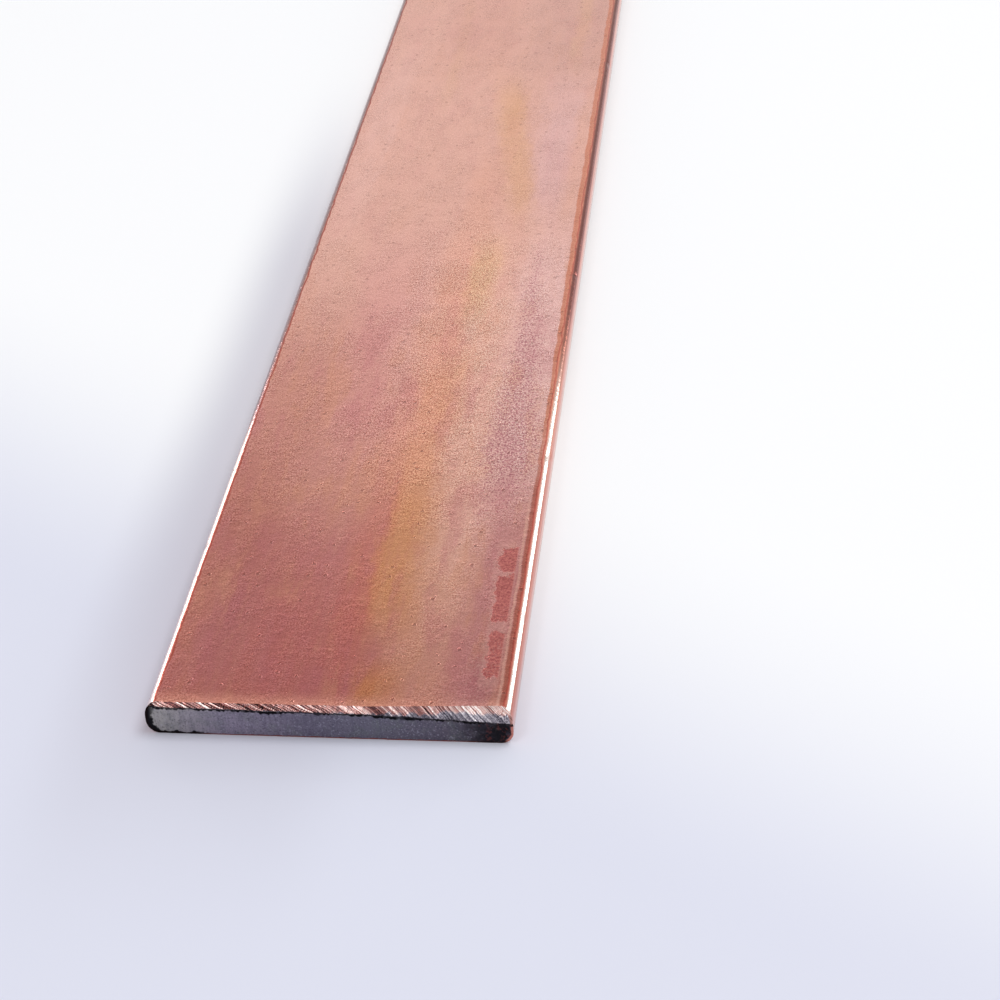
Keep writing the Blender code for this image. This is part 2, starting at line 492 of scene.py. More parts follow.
class Nodes:
    """Short calls for building the node tree of a material or of the world."""

    def __init__(self, owner):
        owner.use_nodes = True
        self.tree = owner.node_tree

    def new(self, kind, **settings):
        node = self.tree.nodes.new(kind)
        for name, value in settings.items():
            setattr(node, name, value)
        return node

    def feed(self, socket, value):
        """Link a socket to another node's output, or set it to a plain value."""
        if isinstance(value, bpy.types.NodeSocket):
            self.tree.links.new(value, socket)
        else:
            socket.default_value = value

    def split(self, vector):
        node = self.new("ShaderNodeSeparateXYZ")
        self.feed(node.inputs[0], vector)
        return node.outputs

    def math(self, operation, *values):
        node = self.new("ShaderNodeMath", operation=operation)
        for socket, value in zip(node.inputs, values):
            self.feed(socket, value)
        return node.outputs[0]

    def plus(self, first, second):
        return self.math("ADD", first, second)

    def minus(self, first, second):
        return self.math("SUBTRACT", first, second)

    def times(self, first, *others):
        """The product of values."""
        for other in others:
            first = self.math("MULTIPLY", first, other)
        return first

    def scaled(self, value, factor, offset):
        """A value times a factor, plus an offset."""
        return self.math("MULTIPLY_ADD", value, factor, offset)

    def flat_length(self, x, y):
        return self.math("SQRT", self.scaled(x, x, self.times(y, y)))

    def ease(self, value, low, high, at_low=0.0, at_high=1.0):
        """Go smoothly from one level to another as value goes from low to high."""
        node = self.new("ShaderNodeMapRange", interpolation_type="SMOOTHSTEP")
        for socket, setting in zip(node.inputs, (value, low, high, at_low, at_high)):
            self.feed(socket, setting)
        return node.outputs["Result"]

    def between(self, value, low, high, soft):
        """1 where value lies from low to high and 0 elsewhere, with soft ends."""
        rising = self.ease(value, low - soft, low + soft)
        falling = self.ease(value, high - soft, high + soft, 1.0, 0.0)
        return self.times(rising, falling)

    def stretch(self, vector, scale, shift=(0.0, 0.0, 0.0)):
        """A place scaled and shifted along each axis."""
        node = self.new("ShaderNodeMapping")
        self.feed(node.inputs["Vector"], vector)
        node.inputs["Scale"].default_value = scale
        node.inputs["Location"].default_value = shift
        return node.outputs["Vector"]

    def noise(self, vector, scale, detail=2.0, roughness=0.5):
        """Cloudy noise, scale cells to each unit of the vector."""
        node = self.new("ShaderNodeTexNoise")
        self.feed(node.inputs["Vector"], vector)
        node.inputs["Scale"].default_value = scale
        node.inputs["Detail"].default_value = detail
        node.inputs["Roughness"].default_value = roughness
        return node.outputs["Fac"]

    def grain(self, place, scale, detail=2.0, roughness=0.5, shift=(0.0, 0.0, 0.0)):
        """Cloudy noise with another number of cells to the unit along each axis."""
        return self.noise(self.stretch(place, scale, shift), 1.0, detail, roughness)

    def mix(self, share, first, second, blend="MIX"):
        node = self.new("ShaderNodeMix", data_type="RGBA", blend_type=blend)
        self.feed(node.inputs[0], share)
        self.feed(node.inputs[6], first)
        self.feed(node.inputs[7], second)
        return node.outputs[2]

    def paint(self, under, over, *masks):
        """Lay a colour over another one, as far as the product of the masks says."""
        if isinstance(under, tuple):
            under = linear(*under)
        return self.mix(self.times(*masks), under, linear(*over))

    def ramp(self, value, stops):
        """A colour that goes through the stops, pairs of a value and a colour."""
        node = self.new("ShaderNodeValToRGB")
        self.feed(node.inputs["Fac"], value)
        points = node.color_ramp.elements
        while len(points) < len(stops):
            points.new(0.5)
        for point, (place, colour) in zip(points, stops):
            point.position = place
            point.color = colour
        return node.outputs["Color"]

    def tones(self, value, stops):
        """A ramp whose stops have colours as they look on screen."""
        return self.ramp(value, [(place, linear(*colour)) for place, colour in stops])

    def levels(self, value, stops):
        """A ramp whose stops have greys, as levels of light."""
        return self.ramp(value, [(place, (level, level, level, 1.0)) for place, level in stops])

    def bump(self, height, distance):
        """The normal of a surface that stands out by height times distance."""
        node = self.new("ShaderNodeBump")
        node.inputs["Strength"].default_value = 1.0
        node.inputs["Distance"].default_value = distance
        self.feed(node.inputs["Height"], height)
        return node.outputs["Normal"]


def start_metal(name):
    """A metal with its Principled shader, its node helper and the place in the bar's millimetres."""
    material = bpy.data.materials.new(name)
    nodes = Nodes(material)
    shader = nodes.tree.nodes["Principled BSDF"]
    shader.inputs["Metallic"].default_value = 1.0
    where = nodes.new("ShaderNodeTexCoord").outputs["Object"]
    place = nodes.stretch(where, (1.0 / MM,) * 3, (0.0, -NEAR_END, 0.0))
    return material, nodes, shader, place


class Tint(NamedTuple):
    """A patch of oxide colour on the wide faces: its colour and strength, its middle and half width, how soft
    its left and right sides are, the stretch of y that it covers, how soft its ends are, and how far its
    middle drifts from its place at the filed end in 100 mm."""

    colour: tuple
    strength: float
    middle: float
    half: float
    soft_left: float
    soft_right: float
    stretch: tuple
    soft_ends: float
    drift: float = 0.0

    def mask(self, nodes, x, y):
        """Where the tint shows, and how strongly."""
        centred = nodes.minus(x, self.middle)
        if self.drift:
            centred = nodes.scaled(y, -self.drift / 100.0, centred)
        start, finish = self.stretch
        sides = nodes.times(
            nodes.ease(centred, -self.half - self.soft_left, -self.half + self.soft_left),
            nodes.ease(centred, self.half - self.soft_right, self.half + self.soft_right, 1.0, 0.0),
        )
        ends = nodes.times(
            nodes.ease(y, start - self.soft_ends, start + self.soft_ends),
            nodes.ease(y, finish - self.soft_ends, finish + self.soft_ends, self.strength, 0.0),
        )
        return nodes.times(sides, ends)


# Colours of the skin, like the tints as they look on screen, 0 to 255; along the edges some are painted
# highlight, painted reflection and painted shade
CLEAN_COPPER = (236, 178, 161)
NEAR_CUT_COPPER = (204, 120, 109)
ROSY_CLOUD = (204, 118, 126)
GOLDEN_CLOUD = (228, 158, 122)
PALE_STREAK = (238, 176, 152)
WARM_BY_FILE = (238, 162, 140)
PURPLE_SPECK = (172, 94, 108)
PIT_BROWN = (142, 78, 68)
PALE_FILM = (228, 172, 160)
FILM_RING = (232, 176, 166)
WORN_LIGHT = (218, 126, 116)
WORN_DARK = (176, 82, 84)
PALE_LINE = (232, 174, 158)
DARK_REFLECTION_BAND = (182, 104, 88)
ORANGE_EDGE = (208, 128, 98)
RIGHT_DARK_REFLECTION = (168, 72, 60)
LEFT_DARK_REFLECTION = (172, 76, 60)
PAINTED_HIGHLIGHT_RIM = (255, 236, 226)
RIGHT_PAINTED_SHADE = (128, 66, 62)
LEFT_PAINTED_SHADE = (100, 46, 56)
LEFT_SPECK = (168, 82, 72)
SIDE_BAND = (226, 150, 134)
SCRAPED_FOOT_AND_SHEEN = (246, 206, 184)
SIDE_SCORE = (150, 74, 70)

# What the grain multiplies the skin's colour by at its darkest and lightest
GRAIN_DARK = (0.66, 0.52, 0.50, 1.0)
GRAIN_LIGHT = (1.18, 1.36, 1.40, 1.0)

# Stretches of y with a worn patch, and the height of the orange peel in millimetres
WORN_STRETCHES = ((31.6, 37.2), (20.0, 30.6), (8.0, 17.5))
PEEL_HEIGHT = 0.080

TINTS = (
    Tint((208, 126, 110), 0.45, -20.0, 6.0, 3.0, 4.0, (-30.0, 50.0), 25.0),
    Tint((184, 104, 94), 0.50, -21.0, 5.0, 3.0, 5.0, (28.0, 60.0), 14.0),
    Tint((188, 106, 100), 0.45, -13.0, 4.5, 4.0, 4.0, (16.0, 44.0), 12.0),
    Tint((202, 124, 110), 0.60, -15.0, 11.0, 4.0, 6.0, (50.0, 104.0), 24.0),
    Tint((202, 112, 110), 0.55, -6.0, 8.0, 6.0, 2.5, (-40.0, 44.0), 24.0),
    Tint((190, 108, 124), 0.35, -17.0, 3.0, 3.0, 3.0, (8.0, 30.0), 12.0),
    Tint((232, 168, 150), 0.50, 12.5, 6.0, 2.5, 3.0, (-30.0, 20.0), 10.0),
    Tint((234, 170, 138), 0.80, 9.0, 4.5, 2.5, 3.0, (16.0, 56.0), 22.0, 1.5),
    Tint((246, 186, 168), 0.85, 14.5, 4.0, 3.0, 2.5, (22.0, 58.0), 20.0, 1.5),
    Tint((247, 188, 168), 0.80, 9.5, 9.5, 3.5, 4.0, (54.0, 136.0), 20.0, 1.0),
    Tint((216, 120, 104), 0.55, 0.4, 2.2, 2.4, 1.6, (12.0, 66.0), 12.0, 0.6),
    Tint((222, 146, 126), 0.45, -2.0, 5.0, 3.0, 2.0, (48.0, 84.0), 14.0),
    Tint((216, 137, 90), 0.80, 5.4, 2.6, 1.2, 3.0, (-10.0, 9.0), 4.0),
    Tint((228, 138, 98), 0.50, 2.6, 1.0, 1.0, 1.0, (20.0, 56.0), 8.0, 1.2),
    Tint((228, 154, 102), 0.80, 5.2, 2.5, 1.5, 2.8, (20.0, 54.0), 8.0, 1.6),
    Tint((236, 160, 116), 0.70, 4.4, 2.8, 1.6, 2.6, (50.0, 92.0), 12.0, 1.8),
    Tint((244, 168, 144), 0.65, 1.6, 3.4, 3.0, 1.6, (60.0, 130.0), 14.0, 1.6),
    Tint((244, 186, 140), 0.65, 6.2, 2.3, 1.6, 2.0, (106.0, 132.0), 8.0, 1.4),
    Tint((238, 172, 148), 0.50, 4.8, 2.8, 2.4, 2.0, (130.0, 168.0), 14.0),
    Tint((236, 176, 138), 0.72, 33.0, 2.8, 2.4, 2.0, (142.0, 204.0), 12.0, -14.0),
    Tint((226, 164, 120), 0.40, 7.0, 1.4, 1.4, 1.4, (180.0, 196.0), 8.0),
    Tint((236, 164, 158), 0.45, -5.0, 5.5, 4.0, 4.0, (62.0, 130.0), 18.0, -2.0),
    Tint((246, 196, 190), 0.75, 19.4, 4.2, 3.4, 0.8, (48.0, 136.0), 20.0),
    Tint((208, 134, 136), 0.70, 20.0, 3.4, 2.4, 0.8, (-20.0, 46.0), 14.0),
    Tint((182, 104, 110), 0.65, 21.4, 1.9, 0.8, 0.8, (-10.0, 15.0), 4.0),
    Tint((234, 182, 177), 0.80, 16.8, 3.4, 2.6, 2.0, (144.0, 206.0), 14.0),
    Tint((241, 187, 174), 0.60, -19.5, 3.5, 3.0, 1.2, (140.0, 215.0), 20.0),
    Tint((220, 164, 150), 0.75, 16.0, 9.5, 5.0, 4.0, (206.0, 262.0), 16.0),
    Tint((234, 180, 150), 0.45, -8.0, 1.4, 1.2, 1.2, (196.0, 250.0), 14.0),
    Tint((234, 178, 142), 0.45, 17.5, 1.2, 1.0, 1.0, (214.0, 262.0), 12.0),
    Tint((232, 180, 142), 0.50, -4.0, 2.6, 2.0, 2.0, (292.0, 352.0), 16.0, 1.0),
    Tint((226, 166, 172), 0.50, 10.0, 5.0, 3.0, 3.0, (300.0, 420.0), 24.0, -3.0),
    Tint((214, 140, 124), 0.50, 0.0, 30.0, 3.0, 3.0, (474.0, 560.0), 24.0),
    Tint((236, 172, 160), 0.60, 20.0, 4.0, 3.0, 1.0, (-20.0, 2.6), 2.4),
    Tint((222, 158, 142), 0.40, -4.0, 8.0, 4.0, 3.0, (212.0, 262.0), 14.0),
)


def heat_tints(nodes, place, x, y):
    """The skin's colour in broad bands and clouds, and the wandering x that they follow."""
    wander = nodes.grain(place, (0.06, 0.02, 0.06), 1.0)
    ragged = nodes.noise(nodes.stretch(place, (1.0, 0.5, 1.0)), 0.8, 4.0, 0.65)
    swerve = nodes.grain(place, (0.30, 0.10, 0.30), shift=(2.0, 9.0, 0.0))
    shift = 0.0
    for field, reach in ((wander, 3.6), (swerve, 3.2), (ragged, 2.6)):
        shift = nodes.plus(shift, nodes.scaled(field, reach, -reach / 2))
    across = nodes.plus(x, shift)
    # The copper is darker and redder towards the filed end
    near_cut = nodes.ease(nodes.scaled(wander, 40.0, y), 10.0, 115.0, 1.0, 0.0)
    colour = nodes.paint(CLEAN_COPPER, NEAR_CUT_COPPER, near_cut)
    for tint in TINTS:
        colour = nodes.paint(colour, tint.colour, tint.mask(nodes, across, y))

    clouds = nodes.grain(place, (0.20, 0.045, 0.20), 4.0, 0.65, (7.0, 3.0, 0.0))
    cloudy = nodes.ease(y, 80.0, 130.0, 0.36, 0.10)
    colour = nodes.paint(colour, ROSY_CLOUD, nodes.ease(clouds, 0.48, 0.66), cloudy)
    colour = nodes.paint(colour, GOLDEN_CLOUD, nodes.ease(clouds, 0.50, 0.34), cloudy)
    streaks = nodes.grain(place, (0.9, 0.03, 0.9))
    colour = nodes.paint(colour, PALE_STREAK, nodes.ease(streaks, 0.35, 0.7, 0.0, 0.08))
    behind_file = nodes.ease(nodes.scaled(ragged, 1.2, y), 1.2, 5.0, 0.75, 0.0)
    colour = nodes.paint(colour, WARM_BY_FILE, behind_file, nodes.ease(x, 10.0, 18.0, 1.0, 0.4))
    return colour, across


def rolled_grain(nodes, place, y, across, colour):
    """Fine light and dark grain over the skin. Gives back the colour and how speckled and uneven it is."""
    grain = nodes.noise(nodes.stretch(place, (1.0, 0.85, 1.0)), 4.4, 2.0, 0.6)
    speckled = nodes.times(nodes.between(across, -3.0, 11.0, 5.0), nodes.between(y, 60.0, 132.0, 20.0))
    coarse = nodes.times(nodes.ease(y, 20.0, 70.0, 0.58, 0.86), nodes.ease(y, 80.0, 150.0, 1.0, 0.36))
    uneven = nodes.grain(place, (0.22, 0.12, 0.22), 3.0, 0.6, (5.0, 1.0, 0.0))
    uneven = nodes.ease(uneven, 0.38, 0.62, 0.60, 1.40)
    gain = nodes.times(nodes.scaled(speckled, 1.60, coarse), nodes.ease(y, 180.0, 240.0, 1.0, 0.4), uneven)
    contrast = nodes.plus(nodes.ease(grain, 0.34, 0.66), -0.5)
    shade = nodes.mix(nodes.scaled(contrast, gain, 0.5), GRAIN_DARK, GRAIN_LIGHT)
    return nodes.mix(1.0, colour, shade, "MULTIPLY"), speckled, uneven


def purple_specks(nodes, across, y, specks, colour):
    """Dark specks all over, crowded in a long field beside the right edge."""
    half = nodes.ease(y, 60.0, 130.0, 4.8, 1.8)
    beside = nodes.math("ABSOLUTE", nodes.plus(across, -18.2))
    field = nodes.ease(nodes.minus(beside, half), -2.8, 2.8, 1.0, 0.0)
    field = nodes.times(field, nodes.between(y, 44.0, 136.0, 18.0))
    level = nodes.scaled(field, 0.24, nodes.plus(specks, -0.22))
    return nodes.paint(colour, PURPLE_SPECK, nodes.ease(level, 0.51, 0.57), 0.75)


def worn_patches(nodes, place, x, y, specks, on_top, colour):
    """Dark red patches along the right edge where the pale film has come off, and the film's ring marks."""
    ragged = nodes.grain(place, (0.75, 0.5, 0.75), 4.0, 0.75, (3.0, 1.0, 0.0))
    push = nodes.scaled(ragged, 3.4, -1.7)
    ragged_y = nodes.plus(y, nodes.times(push, 1.6))
    rows = 0.0
    for start, finish in WORN_STRETCHES:
        rows = nodes.math("MAXIMUM", rows, nodes.between(ragged_y, start, finish, 0.3))
    left_side = nodes.ease(y, 16.0, 34.0, 20.2, 19.8)
    past_left = nodes.minus(nodes.plus(x, push), left_side)
    right_side = nodes.ease(x, 22.1, 22.5, 1.0, 0.0)
    worn = nodes.times(nodes.ease(past_left, -0.15, 0.15), right_side, rows, on_top)
    film_side = nodes.ease(x, 22.3, 22.7, 1.0, 0.0)
    film = nodes.times(nodes.ease(past_left, -0.9, -0.3), film_side, nodes.between(y, 5.0, 39.0, 2.0))
    colour = nodes.paint(colour, PALE_FILM, film, on_top, 0.40)
    tone = nodes.paint(WORN_LIGHT, WORN_DARK, nodes.ease(specks, 0.36, 0.62))
    colour = nodes.mix(nodes.times(worn, 0.85), colour, tone)

    rings = nodes.grain(place, (0.75, 0.75, 0.75), 1.0, shift=(11.0, 5.0, 0.0))
    lines = nodes.between(nodes.math("FRACT", nodes.times(rings, 7.0)), 0.42, 0.58, 0.10)
    ring_field = nodes.times(nodes.between(x, 17.6, 22.4, 1.0), nodes.ease(y, 8.0, 30.0, 0.5, 0.0))
    return nodes.paint(colour, FILM_RING, lines, ring_field), worn


def right_edge(nodes, x, y, z, edge, colour):
    """Strips of other colour along the right edge, from the top face down the narrow side: a brown band and a
    red line that are a painted dark reflection, a painted highlight near the filed end and painted shade
    further back, and a pale foot that is partly a painted reflection.
    """
    pale = nodes.between(edge, 22.65, 23.05, 0.15)
    colour = nodes.paint(colour, PALE_LINE, pale, nodes.ease(y, 44.0, 56.0, 0.75, 0.0))
    # A brown band inside the right highlight, a painted dark reflection
    dark_reflection = nodes.ease(edge, 23.0, 23.3)
    colour = nodes.paint(colour, DARK_REFLECTION_BAND, dark_reflection, nodes.ease(y, 50.0, 75.0, 0.9, 0.0))
    orange = nodes.ease(nodes.minus(edge, nodes.ease(y, 60.0, 150.0, 23.1, 22.7)), -0.1, 0.15)
    colour = nodes.paint(colour, ORANGE_EDGE, orange, nodes.ease(y, 48.0, 76.0, 0.0, 0.85))
    # A red line inside the right highlight, a painted dark reflection
    colour = nodes.paint(colour, RIGHT_DARK_REFLECTION, nodes.between(edge, 23.60, 23.85, 0.10), 0.75)
    # A pale rim near the filed end, a painted highlight
    rim = nodes.between(x, 24.05, 24.55, 0.10)
    colour = nodes.paint(colour, PAINTED_HIGHLIGHT_RIM, rim, nodes.ease(y, 70.0, 100.0, 0.9, 0.0))
    # Painted shade on the right rim further back, where its highlight fades
    colour = nodes.paint(colour, RIGHT_PAINTED_SHADE, nodes.ease(x, 23.7, 24.1), nodes.ease(y, 70.0, 118.0, 0.0, 0.9))
    on_side = nodes.ease(x, 24.62, 24.8)
    colour = nodes.paint(colour, SIDE_BAND, on_side, nodes.between(z, 2.3, 4.2, 0.3))
    # The side's pale foot is partly scraped copper and partly a painted reflection
    return nodes.paint(colour, SCRAPED_FOOT_AND_SHEEN, on_side, nodes.between(z, 0.9, 2.1, 0.2), 0.8)


def left_edge(nodes, x, y, z, edge, specks, colour):
    """Strips of other colour along the left edge's upper round, and dark specks beside it: a red line that is
    a painted dark reflection, and a rim that is a painted highlight near the filed end and painted shade
    further back.
    """
    # A red line inside the left highlight, a painted dark reflection
    colour = nodes.paint(colour, LEFT_DARK_REFLECTION, nodes.between(edge, -23.75, -23.4, 0.10))
    upper_round = nodes.ease(z, 3.9, 4.4)
    # Painted shade on the left rim further back, where its highlight fades
    dark = nodes.ease(x, -23.6, -24.1)
    colour = nodes.paint(colour, LEFT_PAINTED_SHADE, dark, nodes.ease(y, 58.0, 78.0, 0.0, 0.95), upper_round)
    # A pale rim near the filed end, a painted highlight
    rim = nodes.ease(x, -23.9, -24.1)
    colour = nodes.paint(colour, PAINTED_HIGHLIGHT_RIM, rim, nodes.ease(y, 58.0, 78.0, 0.9, 0.0), upper_round)
    beside = nodes.between(x, -24.2, -21.8, 0.7)
    return nodes.paint(colour, LEFT_SPECK, beside, nodes.ease(specks, 0.58, 0.64), 0.6)


def edge_strips(nodes, place, x, y, z, specks, colour):
    """Strips of other colour along both edges, some of them painted highlight, reflection and shade, and the
    scored lines on the narrow sides.
    """
    wave = nodes.grain(place, (0.2, 0.22, 0.2), 3.0, 0.6)
    edge = nodes.scaled(wave, 0.8, nodes.plus(x, -0.4))
    colour = right_edge(nodes, x, y, z, edge, colour)
    scores = nodes.grain(place, (0.5, 0.02, 5.0), 2.0, 0.6)
    on_sides = nodes.ease(nodes.math("ABSOLUTE", x), 24.3, 24.8)
    colour = nodes.paint(colour, SIDE_SCORE, on_sides, nodes.ease(scores, 0.52, 0.62, 0.0, 0.45))
    return left_edge(nodes, x, y, z, edge, specks, colour)


def small_pits(nodes, place, y, specks, on_wide_face):
    """Where small ragged pits lie, one to a cell and larger in about a third of the cells."""
    cells = nodes.new("ShaderNodeTexVoronoi", feature="F1", voronoi_dimensions="2D")
    nodes.feed(cells.inputs["Vector"], nodes.stretch(place, (0.42, 0.36, 0.0)))
    cells.inputs["Scale"].default_value = 1.0
    choice = nodes.new("ShaderNodeSeparateColor")
    nodes.feed(choice.inputs[0], cells.outputs["Color"])
    size = nodes.times(nodes.scaled(choice.outputs[1], 0.10, 0.05), nodes.ease(choice.outputs[0], 0.62, 0.64))
    ragged = nodes.plus(cells.outputs["Distance"], nodes.scaled(specks, 0.20, -0.10))
    pit = nodes.ease(nodes.minus(ragged, size), -0.05, 0.01, 1.0, 0.0)
    return nodes.times(pit, on_wide_face, nodes.ease(y, 60.0, 140.0, 1.0, 0.4))


def oxidised_copper():
    """The rolled skin: satin copper with heat tints along it, orange peel, pits, specks and worn patches, and
    painted highlights, reflections and shade along the edges.
    """
    material, nodes, shader, place = start_metal("oxidised_copper")
    x, y, z = nodes.split(place)
    on_top = nodes.ease(z, 3.2, 4.4)
    on_wide_face = nodes.ease(nodes.math("ABSOLUTE", nodes.plus(z, -THICKNESS / 2)), 1.5, 2.2)
    specks = nodes.grain(place, (3.0, 2.3, 3.0), 2.0, 0.7)
    colour, across = heat_tints(nodes, place, x, y)
    colour, speckled, uneven = rolled_grain(nodes, place, y, across, colour)
    colour = purple_specks(nodes, across, y, specks, colour)
    colour, worn = worn_patches(nodes, place, x, y, specks, on_top, colour)
    colour = edge_strips(nodes, place, x, y, z, specks, colour)
    pit = small_pits(nodes, place, y, specks, on_wide_face)
    nodes.feed(shader.inputs["Base Color"], nodes.paint(colour, PIT_BROWN, pit, 0.50))

    peel = nodes.noise(place, 1.1)
    fine = nodes.noise(nodes.stretch(place, (1.0, 0.8, 1.0)), 3.0, 3.0, 0.7)
    height = nodes.plus(nodes.times(peel, 0.8), nodes.times(fine, 0.4))
    rough_zone = nodes.scaled(speckled, 0.6, nodes.ease(y, 40.0, 80.0, 0.6, 0.9))
    height = nodes.times(height, nodes.times(rough_zone, uneven))
    height = nodes.minus(height, nodes.times(pit, 0.8))
    height = nodes.minus(height, nodes.times(worn, 0.25))
    burnished = nodes.ease(nodes.math("ABSOLUTE", x), 23.3, 24.1)
    height = nodes.times(height, nodes.scaled(burnished, -0.5, 1.0))
    nodes.feed(shader.inputs["Normal"], nodes.bump(height, PEEL_HEIGHT * MM))
    rough = nodes.ease(fine, 0.3, 0.7, 0.25, 0.33)
    nodes.feed(shader.inputs["Roughness"], nodes.scaled(burnished, -0.17, rough))
    return material


# Tones of the filed metals from painted shade in a furrow to a painted glint on a ridge, and of the cut
# core from left to right, darker to the right as painted shade
FILED_COPPER_TONES = (
    (0.00, (30, 18, 22)), (0.20, (104, 68, 70)), (0.48, (186, 142, 138)), (0.74, (236, 206, 200)),
    (0.90, (255, 248, 246)),
)
FILED_SILVER_TONES = (
    (0.00, (38, 36, 44)), (0.25, (88, 84, 96)), (0.50, (146, 140, 152)), (0.72, (204, 198, 206)),
    (0.90, (252, 248, 250)),
)
# The sawn face's tones, darkening towards the right as painted shade
SAWN_TONES_AND_SHADE = (
    (0.03, (180, 176, 172)), (0.20, (158, 148, 165)), (0.45, (121, 115, 132)), (0.62, (118, 114, 128)),
    (0.85, (103, 95, 107)),
)

# Flecks on the cut end, and its blackening, which is painted shade with some dirt
COPPER_FLECK = (180, 104, 92)
SILVER_FLECK = (120, 114, 128)
GREEN_CLOUD = (118, 124, 122)
SLATE_STREAK = (92, 88, 108)
DARK_FLECK = (72, 70, 84)
LIGHT_FLECK = (186, 182, 198)
DULL_COPPER = ((112, 62, 60), (168, 98, 92))
TORN_COPPER = ((150, 60, 50), (240, 172, 156))
# Blackening of the cut end: painted shade, with dirt on the left burr
SHADE_AND_DIRT_ON_COPPER = (26, 18, 20)
SHADE_AND_DIRT_ON_CORE = (24, 23, 28)
RUSTY_DIRT = (92, 50, 48)
PITTING_HEIGHT = 0.05


def cut_masks(nodes):
    """The values that the cut end's mesh carries for its materials."""
    return [nodes.new("ShaderNodeAttribute", attribute_name=name).outputs["Fac"] for name in MASK_NAMES]


def filed_metals(nodes, place, shine):
    """The colours of copper and aluminium where the file laid them bare, with the strokes' painted glints and
    shade.
    """
    spots = nodes.noise(place, 4.0)
    flecks = nodes.ease(nodes.noise(place, 4.5, 2.0, 0.6), 0.32, 0.68)
    copper = nodes.tones(shine, FILED_COPPER_TONES)
    silver = nodes.tones(nodes.mix(0.25, shine, flecks), FILED_SILVER_TONES)
    copper = nodes.paint(copper, COPPER_FLECK, nodes.ease(spots, 0.45, 0.7, 0.0, 0.35))
    silver = nodes.paint(silver, SILVER_FLECK, nodes.ease(spots, 0.50, 0.72, 0.0, 0.35))
    return copper, silver


def sawn_aluminium(nodes, place, x):
    """The colour of the core's matt cut face: greenish grey at the left, slate blue towards the right, and
    darker towards the right as painted shade.
    """
    tone = nodes.tones(nodes.scaled(x, 1.0 / WIDTH, 0.5), SAWN_TONES_AND_SHADE)
    clouds = nodes.grain(place, (0.5, 1.0, 0.6), 3.0, 0.6)
    tone = nodes.paint(tone, GREEN_CLOUD, nodes.ease(clouds, 0.45, 0.70, 0.0, 0.40))
    streaks = nodes.grain(place, (2.6, 1.0, 0.3), 3.0, 0.65)
    tone = nodes.paint(tone, SLATE_STREAK, nodes.ease(streaks, 0.42, 0.68, 0.0, 0.30))
    specks = nodes.noise(place, 3.6, 3.0, 0.7)
    tone = nodes.paint(tone, DARK_FLECK, nodes.ease(specks, 0.54, 0.68, 0.0, 0.60))
    return nodes.paint(tone, LIGHT_FLECK, nodes.ease(specks, 0.44, 0.32, 0.0, 0.50))


def filed_copper():
    """The skin's cut ring: filed bright on the slope with painted glints and shade, and dark with dragged
    aluminium on the sawn face, blackened in places by painted shade with some dirt.
    """
    material, nodes, shader, place = start_metal("filed_copper")
    x = nodes.split(place)[0]
    filed, shine, smut, smear = cut_masks(nodes)
    copper, _ = filed_metals(nodes, place, shine)
    dull = nodes.paint(*DULL_COPPER, nodes.noise(place, 3.0, 3.0, 0.6))
    torn = nodes.paint(*TORN_COPPER, nodes.noise(place, 2.5, 3.0, 0.7))
    dull = nodes.mix(nodes.ease(x, 23.4, 24.0), dull, torn)
    smear = nodes.times(smear, nodes.ease(x, 23.4, 24.0, 1.0, 0.0))
    dull = nodes.mix(smear, dull, sawn_aluminium(nodes, place, x))
    # The blackened places are painted shade, with dirt on the burr at the left
    colour = nodes.paint(nodes.mix(filed, dull, copper), SHADE_AND_DIRT_ON_COPPER, smut)
    nodes.feed(shader.inputs["Base Color"], colour)
    nodes.feed(shader.inputs["Roughness"], nodes.ease(filed, 0.0, 1.0, 0.5, 0.28))
    return material


def cut_aluminium():
    """The core's face: matt slate where it was cut, silver with dragged copper where it was filed, with
    painted glints and shade on the filed part and blackening that is painted shade with some dirt.
    """
    material, nodes, shader, place = start_metal("cut_aluminium")
    x = nodes.split(place)[0]
    filed, shine, smut, smear = cut_masks(nodes)
    copper, silver = filed_metals(nodes, place, shine)
    bright = nodes.mix(smear, silver, copper)
    colour = nodes.mix(filed, sawn_aluminium(nodes, place, x), bright)
    # The blackening is painted shade with some dirt, and rusty specks on the torn right end
    rust = nodes.ease(nodes.noise(place, 2.2, 3.0), 0.50, 0.66)
    shade_and_dirt = nodes.paint(SHADE_AND_DIRT_ON_CORE, RUSTY_DIRT, rust, nodes.ease(x, 18.0, 23.0))
    nodes.feed(shader.inputs["Base Color"], nodes.mix(smut, colour, shade_and_dirt))
    nodes.feed(shader.inputs["Roughness"], nodes.ease(filed, 0.0, 1.0, 0.55, 0.30))
    pitting = nodes.noise(place, 3.5, 3.0, 0.65)
    nodes.feed(shader.inputs["Normal"], nodes.bump(pitting, PITTING_HEIGHT * MM))
    return material


# The floor, in metres, and its colours: cool round the filed end, white behind it, and two shades at its left
FLOOR_REACH = 3.0
FLOOR_GAP = 0.00002
COOL_FLOOR = (223, 225, 240)
WHITE_FLOOR = (250, 251, 255)
BROAD_SHADE = (198, 197, 210)
CORNER_SHADE = (212, 210, 224)


